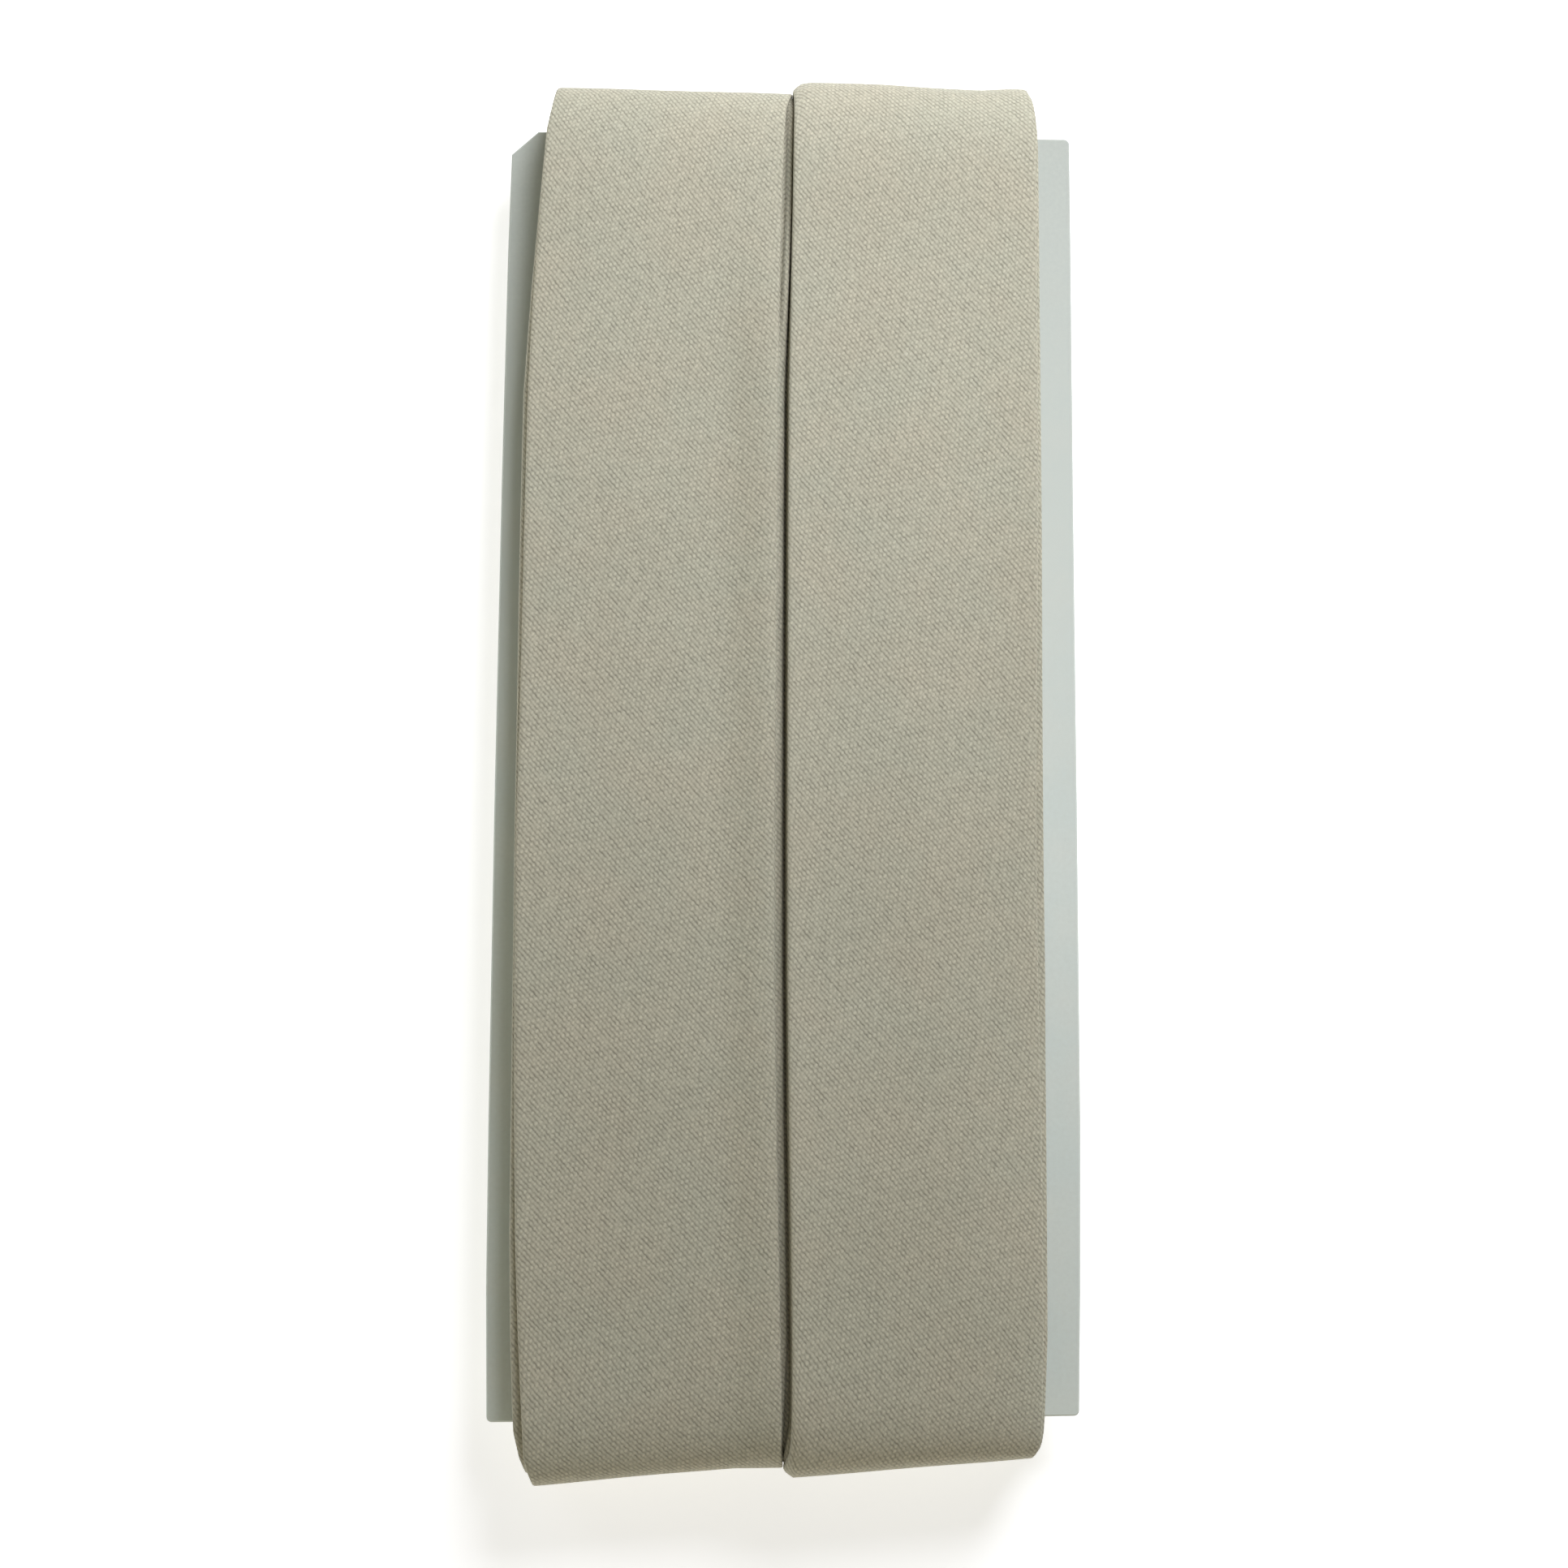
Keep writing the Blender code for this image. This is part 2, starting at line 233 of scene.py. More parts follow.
def lane_relief(lane, x, y):
    """How the front's skin rises at the bulky main fold, curls up at the seam and sags beyond."""
    fold, leaf = edge_at(y, f"{lane}_fold"), edge_at(y, f"{lane}_leaf")
    lower = float(smooth((LOWER_PART_FROM_Y - y) / LOWER_PART_FADE))
    ridge_height = blend(*FOLD_RIDGE[lane], lower)
    past_ridge = np.maximum(x - fold - FOLD_RIDGE_FLAT, 0.0)
    fold_ridge = ridge_height * np.exp(-past_ridge / FOLD_RIDGE_WIDTH)
    if lane == "left":
        curl = CURL_HEIGHT * float(smooth((CURL_TOP_Y - y) / CURL_FADE))
        return fold_ridge + curl * smooth((x - leaf + CURL_WIDTH) / (CURL_WIDTH - CURL_FLAT))
    sag = blend(*OPEN_SAG, lower)
    toward_edge = np.clip((x - leaf + SAG_WIDTH) / SAG_WIDTH, 0.0, SAG_LIMIT)
    return fold_ridge - sag * toward_edge ** SAG_POWER


def front_skin(lane, y):
    crown = FRONT_CROWN * max(0.0, 1.0 - (y / CARD_HALF_LENGTH) ** 2)
    return FRONT_BASE + LANE_TURNS[lane] * TURN_THICKNESS + crown


def start_ramp(y):
    """From 0 to 1 where the tape climbs over its own start on the left lane's back."""
    return float(smooth((y - START_Y + START_RAMP / 2) / START_RAMP))


def crossing_share(y):
    """From 0 to 1 as the crossing strip passes from the left lane to the right."""
    return min(max((y - CROSSING_FROM_Y) / (CROSSING_TO_Y - CROSSING_FROM_Y), 0.0), 1.0)


def turn_jitter(lane, turn, y):
    """How a turn that is mostly hidden wanders sideways. The seed only tells the turns apart."""
    seed = 1.7 * turn + (0.0 if lane == "left" else 4.0)
    step = WANDER_STEP * math.sin(seed * 2.3)
    return step + WANDER_WAVE * math.sin(2 * math.pi * y / WANDER_LENGTH + seed * 3.1)


def turn_edges(lane, turn, places, on_back):
    """Left edge, edge of the narrow leaf and edge of the wide leaf of one turn.

    places holds the y of the turn's left edge and the y of its right edge.
    """
    left_y, right_y = places
    last_turn = LANE_TURNS[lane] - 1
    if turn == last_turn:
        fold = edge_at(left_y, f"{lane}_fold")
        leaf = edge_at(right_y, f"{lane}_leaf")
        outer = edge_at(right_y, f"{lane}_open")
    else:
        wander = turn_jitter(lane, turn, right_y) if turn < last_turn - 1 else 0.0
        stagger = blend(SEAM_STAGGER["front"][turn], SEAM_STAGGER["back"][turn], on_back)
        if lane == "left":
            fold = edge_at(left_y, "left_under") + abs(wander)
            outer = edge_at(right_y, "seam") + stagger - SEAM_CLEARANCE
        else:
            fold = edge_at(left_y, "seam") + stagger + SEAM_CLEARANCE
            if turn == last_turn - 1:
                fold = blend(edge_at(left_y, "right_under"), fold, on_back)
            outer = edge_at(right_y, "right_open") - RIGHT_HIDDEN_INSET
            outer += RIGHT_WANDER_SHARE * wander
        leaf = outer - HIDDEN_LEAF_STEP
    if lane == "right":
        least, extra = BACK_STAND_OFF
        fold += on_back * (least + extra * (1.0 - (turn + 1) / (RIGHT_TURNS + 1)))
    return fold, leaf, outer


def fold_section(detail):
    """Points across the folded tape from raw edge to raw edge.

    Columns: leaf, share, inset, level, and how far the wide leaf sinks and turns up at the seam.
    """
    points = []
    for share in np.linspace(RAW_EDGE_SHARE, FLAP_END_SHARE, detail["flap"]):
        points.append(("upper", share, 0.0, INNER_LEVEL, 0.0, 0.0))
    middle = (SKIN_LEVEL + INNER_LEVEL) / 2
    radius = (SKIN_LEVEL - INNER_LEVEL) / 2
    for angle in np.radians(np.linspace(-90, 90, detail["leaf_fold"])):
        inset = -LEAF_FOLD_RADIUS * (1.0 - math.cos(angle))
        points.append(("upper", 1.0, inset, middle + radius * math.sin(angle), 0.0, 0.0))
    for share in np.linspace(1.0, 0.0, detail["face"] + 2)[1:-1]:
        points.append(("upper", share, 0.0, SKIN_LEVEL, 0.0, 0.0))
    for angle in np.radians(np.linspace(90, -90, detail["main_fold"])):
        inset = MAIN_FOLD_RADIUS * (1.0 - max(math.cos(angle), 0.0) ** MAIN_FOLD_SQUARENESS)
        rise = math.copysign(abs(math.sin(angle)) ** MAIN_FOLD_SQUARENESS, angle)
        points.append(("upper", 0.0, inset, SKIN_LEVEL * rise, 0.0, 0.0))
    for share in np.linspace(0.0, 1.0, detail["underside"] + 2)[1:-1]:
        points.append(("lower", share, 0.0, -SKIN_LEVEL, 0.0, 0.0))
    for angle in np.radians(np.linspace(-90, 90, detail["leaf_fold"])):
        inset = -LEAF_FOLD_RADIUS * (1.0 - math.cos(angle))
        level = radius * math.sin(angle) - middle
        points.append(("lower", 1.0, inset, level, *WIDE_LEAF_EDGE))
    for share, sunk, turned_up in WIDE_LEAF_FACE:
        points.append(("lower", share, 0.0, -INNER_LEVEL, sunk, turned_up))
    leaves = np.array([point[0] == "upper" for point in points])
    columns = np.array([point[1:] for point in points]).T
    return leaves, *columns


def wide_leaf_rise(station, y, sunk, turned_up):
    """How far the left lane's outermost wide leaf rises or sinks at the seam, on the front."""
    if station["lane"] != "left" or station["turn"] != LEFT_TURNS - 1 or station["side"] == "back":
        return 0.0
    places, sinks = np.array(WIDE_LEAF_SINK).T
    sunk = sunk * np.interp(y, places, sinks)
    rise = blend(sunk, turned_up, smooth((y - TURNED_UP_FROM_Y) / TURNED_UP_LENGTH))
    return rise if station["side"] == "front" else rise * max(math.sin(station["angle"]), 0.0)


# How finely the hidden turns and the outer ones are cut: points across each part of the section,
# the step along a straight run in mm, and the number of steps round an end
INNER_DETAIL = {
    "flap": 4, "leaf_fold": 4, "face": 7, "main_fold": 5, "underside": 5,
    "step": 4.5, "end_steps": 11,
}
OUTER_DETAIL = {
    "flap": 26, "leaf_fold": 6, "face": 26, "main_fold": 9, "underside": 14,
    "step": 2.2, "end_steps": 18,
}


def run_along(low, high, step):
    """Evenly spaced places from low to high, or from high to low."""
    count = max(2, round(abs(high - low) / step) + 1)
    return [float(y) for y in np.linspace(low, high, count)]


def back_run(lane, turn, low, high, detail):
    stations = []
    for y in run_along(low, high, detail["step"]):
        station = {"lane": lane, "turn": turn, "side": "back", "y": y, "skin": BACK_SKIN}
        if lane == "left":
            before = turn - 1 if low >= START_Y else turn
            station["layer"] = max(before + start_ramp(y), 0.0)
            station["layers"] = LEFT_TURNS + start_ramp(y)
            station["crossing"] = turn == LEFT_TURNS - 1 and low < START_Y
        else:
            station["layer"] = turn + crossing_share(y)
            station["layers"] = RIGHT_TURNS + crossing_share(y)
        stations.append(station)
    return stations


def end_run(lane, turn, side, detail):
    """Round an end: the bottom from front to back, the top from back to front."""
    steps = detail["end_steps"]
    angles = [math.pi * (0.5 - index / steps) for index in range(1, steps)]
    if side == "top":
        angles.reverse()
    stations = []
    for angle in angles:
        station = {"lane": lane, "turn": turn, "side": side, "angle": angle, "layer": turn,
                   "layers": LANE_TURNS[lane]}
        if angle > 0:
            station["skin"] = front_skin(lane, FACE_HALF)
        elif side == "bottom":
            station["skin"] = BACK_SKIN
            station["crossing"] = lane == "left" and turn == LEFT_TURNS - 1
        else:
            share = LANE_TURNS[lane] / (LANE_TURNS[lane] + 1)
            station["skin"] = blend(INNER_RISE, BACK_SKIN, share)
        stations.append(station)
    return stations


def front_run(lane, turn, detail):
    stations = []
    for y in run_along(FACE_HALF, -FACE_HALF, detail["step"]):
        stations.append({"lane": lane, "turn": turn, "side": "front", "y": y, "layer": turn,
                         "layers": LANE_TURNS[lane], "skin": front_skin(lane, y)})
    return stations


def left_turn(turn, detail):
    """One turn of the left lane, from the tape's start on the back round to it again."""
    stations = back_run("left", turn, START_Y, FACE_HALF, detail)
    stations += end_run("left", turn, "top", detail)
    stations += front_run("left", turn, detail)
    stations += end_run("left", turn, "bottom", detail)
    return stations + back_run("left", turn, -FACE_HALF, START_Y, detail)


def right_turn(turn, detail):
    """One turn of the right lane, from the top of the back; the last one stops at the tail."""
    stations = end_run("right", turn, "top", detail)
    stations += front_run("right", turn, detail)
    stations += end_run("right", turn, "bottom", detail)
    last = TAIL_CUT_Y if turn == RIGHT_TURNS - 1 else FACE_HALF
    return stations + back_run("right", turn, -FACE_HALF, last, detail)


def crossing_run(detail):
    """The strip that leaves the left lane, dives at the seam and lies under the right lane."""
    stations = []
    for y in run_along(START_Y, CROSSING_TO_Y, detail["step"])[1:]:
        stations.append({"lane": "left", "turn": LEFT_TURNS - 1, "side": "back", "y": y,
                         "skin": BACK_SKIN, "layer": LEFT_TURNS - 1 + start_ramp(y),
                         "layers": LEFT_TURNS + start_ramp(y), "crossing": True})
    return stations


def lane_reach(lane, end, share):
    """How far the lane reaches past the card's end, share of the way across it."""
    table = np.array(REACH[(lane, end)])
    return np.interp(share, table[:, 0], table[:, 1])


def wrap(station, reach, skin, share):
    """Distance from the card's middle along y and z, from the card (0) to the outer skin (1)."""
    if station["side"] == "front":
        return station["y"], blend(INNER_RISE, skin, share)
    if station["side"] == "back":
        return station["y"], -blend(INNER_RISE, skin, share)
    side = 1 if station["side"] == "top" else -1
    along, up = math.cos(station["angle"]), math.sin(station["angle"])
    squareness = BOTTOM_FRONT_SQUARENESS if side < 0 and up > 0 else END_SQUARENESS
    outer_y = FACE_HALF + (END_SETBACK + reach) * along ** squareness
    outer_z = math.copysign(abs(up) ** squareness, up) * skin
    corner = max(along, abs(up))
    inner_y = FACE_HALF + (CARD_END[station["side"]] + WOUND_TIGHT - FACE_HALF) * along / corner
    inner_z = INNER_RISE * up / corner
    return side * blend(inner_y, outer_y, share), blend(inner_z, outer_z, share)


def edge_places(station, lane, share):
    """The y of a turn's left edge and of its right edge."""
    if "y" in station:
        return station["y"], station["y"]
    reaches = lane_reach(lane, station["side"], np.array([0.0, 1.0]))
    places = [wrap(station, reach, station["skin"], share)[0] for reach in reaches]
    return float(places[0]), float(places[1])


def station_edges(station):
    """The turn's left edge, narrow leaf's edge, wide leaf's edge, and the y of its two edges."""
    places = edge_places(station, station["lane"], (station["layer"] + 0.5) / station["layers"])
    if "y" in station:
        on_back = 1.0 if station["side"] == "back" else 0.0
    else:
        on_back = max(0.0, -math.sin(station["angle"]))
    edges = turn_edges(station["lane"], station["turn"], places, on_back)
    if station.get("crossing"):
        y = places[0]
        slide = crossing_share(y) * (edge_at(y, "right_fold") + CROSSING_INSET - edges[0])
        edges = tuple(edge + slide for edge in edges)
    return edges, places


def skin_points(station, x, share, places):
    """Points between the card, at share 0, and the outer skin of the winding, at share 1."""
    lane, y = station["lane"], places[0]
    uneven = ripple(x, y, lane)
    low, high = edge_at(places[0], f"{lane}_fold"), edge_at(places[1], f"{lane}_open")
    across = np.clip((x - low) / (high - low), 0.0, 1.0)
    if station["side"] == "front":
        skin = station["skin"] + uneven + lane_relief(lane, x, y)
        along, height = wrap(station, 0.0, skin, share)
    elif station["side"] == "back":
        along, height = wrap(station, 0.0, station["skin"] - np.abs(uneven), share)
    else:
        up = math.sin(station["angle"])
        skin = station["skin"] + (uneven + lane_relief(lane, x, y)) * max(up, 0.0)
        reach = lane_reach(lane, station["side"], across) + uneven * (1.0 - abs(up))
        along, height = wrap(station, reach, skin, share)
    return np.stack([x, np.broadcast_to(along, x.shape), CARD_LEVEL + height], 1)


def section_points(station, section):
    """The folded tape's section at one station of its path."""
    upper, shares, insets, levels, sunk, turned_up = section
    (fold, leaf, outer), places = station_edges(station)
    levels = levels + wide_leaf_rise(station, places[1], sunk, turned_up)
    x = fold + shares * (np.where(upper, leaf, outer) - fold) + insets
    share = (station["layer"] + 0.5 + levels) / station["layers"]
    if station.get("crossing"):
        past_seam = x - edge_at(places[1], "seam")
        dive = smooth((past_seam + CROSSING_DIVE_LEAD) / CROSSING_DIVE)
        share = blend(share, (0.5 + levels) / (RIGHT_TURNS + 1), dive)
    points = skin_points(station, x, share, places)
    points[:, 1] += CARD_MIDDLE_Y
    return points


def lay_out_rows(along, across, rows, section):
    """Map for baking: the tape cut in rows, the outer face of the tape widest in each."""
    leaves, shares, _, levels = section[:4]
    outer_face = leaves & (levels > INNER_LEVEL) & (shares > 0.0)
    widths = np.diff(across)
    widths *= np.where(outer_face[:-1] & outer_face[1:], 1.0, HIDDEN_FACE_SCALE)
    height = np.concatenate([[0.0], np.cumsum(widths)]) / widths.sum()
    breaks = np.searchsorted(along, along[0] + (along[-1] - along[0]) * np.array(rows["ends"]))
    gaps = ROW_GAP * (len(rows["ends"]) + 1)
    tall = np.array(rows["heights"]) / sum(rows["heights"]) * (1.0 - gaps)
    faces = []
    start, base = 0, ROW_GAP
    for stop, row_height in zip(breaks, tall):
        stop = min(max(stop, start + 1), len(along) - 1)
        shares = (along[start:stop + 1] - along[start]) / (along[stop] - along[start])
        places = ROW_GAP + shares * (1.0 - 2 * ROW_GAP)
        grid = np.stack(np.meshgrid(base + row_height * height, places), 2)[..., ::-1]
        corners = [grid[:-1, :-1], grid[:-1, 1:], grid[1:, 1:], grid[1:, :-1]]
        faces.append(np.stack(corners, 2).reshape(-1, 2))
        start, base = stop, base + row_height + ROW_GAP
    return np.concatenate(faces)


def tape_mesh(name, stations, detail, rows_for_baking, start_length):
    """A sheet that follows the stations, with its cloth coordinates in mm; returns its length."""
    section = fold_section(detail)
    rows = np.array([section_points(station, section) for station in stations])
    count_along, count_across = rows.shape[:2]
    steps = np.linalg.norm(np.diff(rows, axis=0), axis=2).mean(axis=1)
    along = start_length + np.concatenate([[0.0], np.cumsum(steps)])
    widths = np.linalg.norm(np.diff(rows, axis=1), axis=2).mean(axis=0)
    across = np.concatenate([[0.0], np.cumsum(widths)])
    across *= CUT_WIDTH / across[-1]

    index = np.arange(count_along * count_across).reshape(count_along, count_across)
    quads = np.stack([index[:-1, :-1], index[:-1, 1:], index[1:, 1:], index[1:, :-1]], 2)
    quads = quads.reshape(-1, 4)
    mesh = bpy.data.meshes.new(name)
    mesh.from_pydata((rows.reshape(-1, 3) * MM).tolist(), [], quads.tolist())
    cloth = np.stack(np.meshgrid(across, along), 2).reshape(-1, 2)
    layer = mesh.uv_layers.new(name="cloth")
    layer.uv.foreach_set("vector", cloth[quads.ravel()].astype(np.float32).ravel())
    baked = mesh.uv_layers.new(name="OFBake")
    flat = lay_out_rows(along, across, rows_for_baking, section)
    baked.uv.foreach_set("vector", flat.astype(np.float32).ravel())
    mesh.shade_smooth()
    piece = bpy.data.objects.new(name, mesh)
    bpy.context.scene.collection.objects.link(piece)
    return piece, float(along[-1])


class Shader:
    """Adds nodes to one material and links them."""

    def __init__(self, name):
        self.material = bpy.data.materials.new(name)
        self.material.use_nodes = True
        self.tree = self.material.node_tree
        self.surface = self.tree.nodes["Principled BSDF"]

    def add(self, kind, inputs=None, **settings):
        node = self.tree.nodes.new(kind)
        for key, value in settings.items():
            setattr(node, key, value)
        for key, value in (inputs or {}).items():
            self.put(value, node.inputs[key])
        return node

    def put(self, value, socket):
        if isinstance(value, bpy.types.NodeSocket):
            self.tree.links.new(value, socket)
        else:
            socket.default_value = value

    def math(self, operation, *values):
        node = self.add("ShaderNodeMath", operation=operation)
        for value, socket in zip(values, node.inputs):
            self.put(value, socket)
        return node.outputs[0]

    def noise(self, vector, scale, detail, roughness):
        inputs = {"Vector": vector, "Scale": scale, "Detail": detail, "Roughness": roughness}
        return self.add("ShaderNodeTexNoise", inputs).outputs["Fac"]

    def remap(self, value, low, high, to_low, to_high):
        inputs = {"Value": value, "From Min": low, "From Max": high,
                  "To Min": to_low, "To Max": to_high}
        return self.add("ShaderNodeMapRange", inputs).outputs["Result"]

    def mix(self, share, first, second):
        """Mixes two colours. They are sockets 6 and 7 of the node, and the result is socket 2."""
        node = self.add("ShaderNodeMix", data_type="RGBA")
        self.put(share, node.inputs[0])
        self.put(first, node.inputs[6])
        self.put(second, node.inputs[7])
        return node.outputs[2]

    def set_surface(self, values):
        for name, value in values.items():
            self.surface.inputs[name].default_value = value


# The weave: two sets of threads on the bias, measured on the tape's flat face
RIB_PITCH = 0.355
RIB_NORMAL_DEGREES = 42.0
FINE_PITCH = 0.252
FINE_NORMAL_DEGREES = -38.0
THREAD_WANDER = 0.7
GROOVE_SHARPNESS = 1.3
STREAK_STRETCH = 0.22
FINE_DEPTH = 0.08
TAPE_WARM = (0.490, 0.458, 0.346, 1.0)
TAPE_GREEN = (0.472, 0.456, 0.348, 1.0)
TAPE_SHADE = (0.430, 0.402, 0.298, 1.0)
TAPE_SLUB = (0.62, 0.60, 0.47, 1.0)
SLUB_SHARE = 0.4
FIBRE_HEIGHT = 0.25
SLUB_HEIGHT = 0.5
TAPE_BUMP = {"Strength": 0.5, "Distance": 0.00006}
TAPE_SURFACE = {"Specular IOR Level": 0.25, "Sheen Weight": 0.10, "Sheen Roughness": 0.5}
# Noise over the cloth: scale per mm, detail, roughness
TAPE_NOISE = {
    "wander": (0.45, 3.0, 0.6),
    "streak": (0.95, 2.0, 0.7),
    "cloud": (0.12, 3.0, 0.55),
    "grime": (0.035, 2.0, 0.5),
    "fibre": (4.0, 3.0, 0.7),
    "slub": (1.1, 1.0, 0.5),
}
# Remapped values: from low, from high, to low, to high
TAPE_RANGES = {
    "groove depth": (0.3, 0.7, 0.32, 1.20),
    "bead height": (0.0, 1.0, -0.02, 0.47),
    "weave": (-1.3, 0.3, 0.0, 1.0),
    "slub": (0.74, 0.80, 0.0, 1.0),
    "cloud": (0.35, 0.65, 0.0, 1.0),
    "grime": (0.40, 0.70, 0.0, 0.3),
    # painted shade and light: colour factor from the weave's grooves to its thread tops
    "depth": (0.0, 1.0, 0.545, 1.165),
    "grain": (0.3, 0.7, 0.87, 1.13),
    "roughness": (0.0, 1.0, 0.95, 0.82),
}


def thread_place(shader, u, v, degrees, pitch, wander):
    """Position across a set of parallel threads, in threads."""
    turn = math.radians(degrees)
    across = shader.math("MULTIPLY", u, math.cos(turn) / pitch)
    place = shader.math("MULTIPLY_ADD", v, math.sin(turn) / pitch, across)
    return shader.math("MULTIPLY_ADD", wander, THREAD_WANDER, place)


def tape_material():
    shader = Shader("bias cotton")
    cloth = shader.add("ShaderNodeUVMap", uv_map="cloth").outputs["UV"]
    split = shader.add("ShaderNodeSeparateXYZ", {"Vector": cloth})
    u, v = split.outputs["X"], split.outputs["Y"]

    def joined(first, second):
        return shader.add("ShaderNodeCombineXYZ", {"X": first, "Y": second}).outputs["Vector"]

    # Two sets of threads, each wavering a little
    wander = shader.noise(cloth, *TAPE_NOISE["wander"])
    rib = thread_place(shader, u, v, RIB_NORMAL_DEGREES, RIB_PITCH, wander)
    fine = thread_place(shader, u, v, FINE_NORMAL_DEGREES, FINE_PITCH, wander)
    rib_number = shader.math("FLOOR", rib)
    fine_number = shader.math("FLOOR", fine)

    # Ribs with dark grooves of uneven depth, which pass over and under the fine threads
    rib_wave = shader.math("COSINE", shader.math("MULTIPLY", rib, 2 * math.pi))
    groove = shader.math("MULTIPLY_ADD", rib_wave, 0.5, 0.5)
    groove = shader.math("POWER", groove, GROOVE_SHARPNESS)
    streak_place = joined(rib, shader.math("MULTIPLY", fine, STREAK_STRETCH))
    streak = shader.noise(streak_place, *TAPE_NOISE["streak"])
    groove_depth = shader.remap(streak, *TAPE_RANGES["groove depth"])
    groove_depth = shader.math("MULTIPLY", groove, groove_depth)
    side = shader.math("COSINE", shader.math("MULTIPLY", rib_number, math.pi))
    bead_wave = shader.math("SINE", shader.math("MULTIPLY", fine, math.pi))
    knot_place = joined(rib_number, fine_number)
    knot = shader.add("ShaderNodeTexWhiteNoise", {"Vector": knot_place}).outputs["Value"]
    bead = shader.math("MULTIPLY", side, bead_wave)
    bead = shader.math("MULTIPLY", bead, shader.remap(knot, *TAPE_RANGES["bead height"]))
    fine_wave = shader.math("COSINE", shader.math("MULTIPLY", fine, 2 * math.pi))
    weave = shader.math("SUBTRACT", bead, groove_depth)
    weave = shader.math("MULTIPLY_ADD", fine_wave, -FINE_DEPTH, weave)
    weave = shader.remap(weave, *TAPE_RANGES["weave"])

    # Soft handling marks, fibres and slubs
    cloud = shader.noise(cloth, *TAPE_NOISE["cloud"])
    grime = shader.noise(cloth, *TAPE_NOISE["grime"])
    fibre = shader.noise(cloth, *TAPE_NOISE["fibre"])
    slub = shader.noise(cloth, *TAPE_NOISE["slub"])
    slub = shader.remap(slub, *TAPE_RANGES["slub"])

    colour = shader.mix(shader.remap(cloud, *TAPE_RANGES["cloud"]), TAPE_WARM, TAPE_GREEN)
    colour = shader.mix(shader.remap(grime, *TAPE_RANGES["grime"]), colour, TAPE_SHADE)
    # Painted shade and light: darker in the weave's grooves, lighter on the threads' tops; the
    # fibre grain varies it at random
    depth = shader.remap(weave, *TAPE_RANGES["depth"])
    grain = shader.remap(fibre, *TAPE_RANGES["grain"])
    level = shader.math("MULTIPLY", depth, grain)
    colour_with_painted_shade = shader.add("ShaderNodeVectorMath", {0: colour, 1: level}, operation="MULTIPLY")
    slub_share = shader.math("MULTIPLY", slub, SLUB_SHARE)
    colour = shader.mix(slub_share, colour_with_painted_shade.outputs[0], TAPE_SLUB)
    shader.put(colour, shader.surface.inputs["Base Color"])

    height = shader.math("MULTIPLY_ADD", fibre, FIBRE_HEIGHT, weave)
    height = shader.math("MULTIPLY_ADD", slub, SLUB_HEIGHT, height)
    bump = shader.add("ShaderNodeBump", {**TAPE_BUMP, "Height": height})
    shader.put(bump.outputs[0], shader.surface.inputs["Normal"])
    roughness = shader.remap(weave, *TAPE_RANGES["roughness"])
    shader.put(roughness, shader.surface.inputs["Roughness"])
    shader.set_surface(TAPE_SURFACE)
    return shader.material


# The card: matt white board with painted shade toward its top end. Places here are in metres.
CARD_PALE = (0.69, 0.75, 0.69, 1.0)
CARD_WARM = (0.72, 0.76, 0.69, 1.0)
# painted shade for the board's top end, where the key light falls stronger
CARD_PAINTED_SHADE = (0.34, 0.355, 0.31, 1.0)
CARD_FIBRE = (0.60, 0.63, 0.56, 1.0)
CARD_BUMP = {"Strength": 0.2, "Distance": 0.00003}
CARD_SURFACE = {"Specular IOR Level": 0.35}
CARD_NOISE = {
    "fibre": (2600.0, 4.0, 0.6),
    "mottle": (160.0, 3.0, 0.5),
}
CARD_RANGES = {
    "mottle": (0.35, 0.65, 0.0, 1.0),
    "dull by y": (-0.01, 0.06, 0.0, 0.75),
    "fibre": (0.3, 0.7, 0.0, 0.25),
    "roughness": (0.3, 0.7, 0.62, 0.78),
}


def card_material():
    shader = Shader("white board")
    place = shader.add("ShaderNodeTexCoord").outputs["Object"]
    fibre = shader.noise(place, *CARD_NOISE["fibre"])
    mottle = shader.noise(place, *CARD_NOISE["mottle"])
    colour = shader.mix(shader.remap(mottle, *CARD_RANGES["mottle"]), CARD_PALE, CARD_WARM)
    split = shader.add("ShaderNodeSeparateXYZ", {"Vector": place})
    # Painted shade: the board darkens toward its top end, against the stronger key light there
    dull = shader.remap(split.outputs["Y"], *CARD_RANGES["dull by y"])
    colour = shader.mix(dull, colour, CARD_PAINTED_SHADE)
    colour = shader.mix(shader.remap(fibre, *CARD_RANGES["fibre"]), colour, CARD_FIBRE)
    shader.put(colour, shader.surface.inputs["Base Color"])
    bump = shader.add("ShaderNodeBump", {**CARD_BUMP, "Height": fibre})
    shader.put(bump.outputs[0], shader.surface.inputs["Normal"])
    roughness = shader.remap(fibre, *CARD_RANGES["roughness"])
    shader.put(roughness, shader.surface.inputs["Roughness"])
    shader.set_surface(CARD_SURFACE)
    return shader.material


# Rows of the map for baking: shares of the length where they end, and their heights.
# The front and the ends, which show, get the tallest rows.
ROW_GAP = 0.006
HIDDEN_FACE_SCALE = 0.12
EVEN_ROW_COUNT = 9
EVEN_ROWS = {
    "ends": [(index + 1) / EVEN_ROW_COUNT for index in range(EVEN_ROW_COUNT)],
    "heights": [1.0] * EVEN_ROW_COUNT,
}
LEFT_ROWS = {"ends": [0.27, 0.49, 0.715, 1.0], "heights": [0.4, 1.0, 1.0, 0.4]}
RIGHT_ROWS = {"ends": [0.36, 0.71, 1.0], "heights": [1.0, 1.0, 0.6]}


